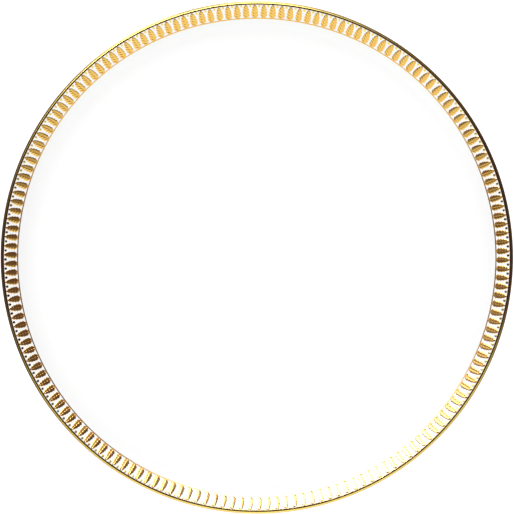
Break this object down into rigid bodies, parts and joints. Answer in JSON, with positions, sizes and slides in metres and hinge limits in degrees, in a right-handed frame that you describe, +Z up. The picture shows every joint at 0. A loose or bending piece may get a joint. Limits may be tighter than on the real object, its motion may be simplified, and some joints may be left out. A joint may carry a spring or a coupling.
{
  "type": "dinner plate",
  "caption": "Round coupe dinner plate of glazed white porcelain with an upswept rim, a gilded lip, a border of raised gold leaves on a gold hairline, and a bare-edged foot ring.",
  "frame": {"origin": "on the plate's axis, in the plane of the ground edge of the foot ring, which is the plane that the plate stands on", "axes": "+Z up along the plate's axis; +Y and +X lie in the plane of the table, and the first leaf of the band stands near +Y"},
  "size_m": [0.2698, 0.27, 0.0188],
  "materials": {
    "bisque": "unglazed fired porcelain, ground smooth",
    "glaze": "clear gloss glaze over white porcelain",
    "bright_gold": "burnished gold line",
    "satin_gold": "satin raised gold"
  },
  "bodies": {
    "root": {"porcelain_body": "bisque", "face_and_back_glaze": "glaze", "foot_recess_glaze": "glaze", "gold_lip_band": "bright_gold", "gold_leaves_01": "satin_gold", "gold_leaves_02": "satin_gold", "gold_leaves_03": "satin_gold", "gold_leaves_04": "satin_gold", "gold_leaves_05": "satin_gold", "gold_leaves_06": "satin_gold", "gold_leaves_07": "satin_gold", "gold_leaves_08": "satin_gold", "gold_leaves_09": "satin_gold", "gold_leaves_10": "satin_gold", "gold_leaves_11": "satin_gold", "gold_leaves_12": "satin_gold", "gold_leaves_13": "satin_gold", "gold_leaves_14": "satin_gold", "gold_leaves_15": "satin_gold", "gold_leaves_16": "satin_gold", "gold_leaves_17": "satin_gold", "gold_leaves_18": "satin_gold", "gold_leaves_19": "satin_gold", "gold_leaves_20": "satin_gold", "gold_leaves_21": "satin_gold", "gold_leaves_22": "satin_gold", "gold_leaves_23": "satin_gold", "gold_leaves_24": "satin_gold", "gold_leaves_25": "satin_gold", "gold_leaves_26": "satin_gold", "gold_leaves_27": "satin_gold", "gold_leaves_28": "satin_gold", "gold_leaves_29": "satin_gold"}
  },
  "joints": []
}
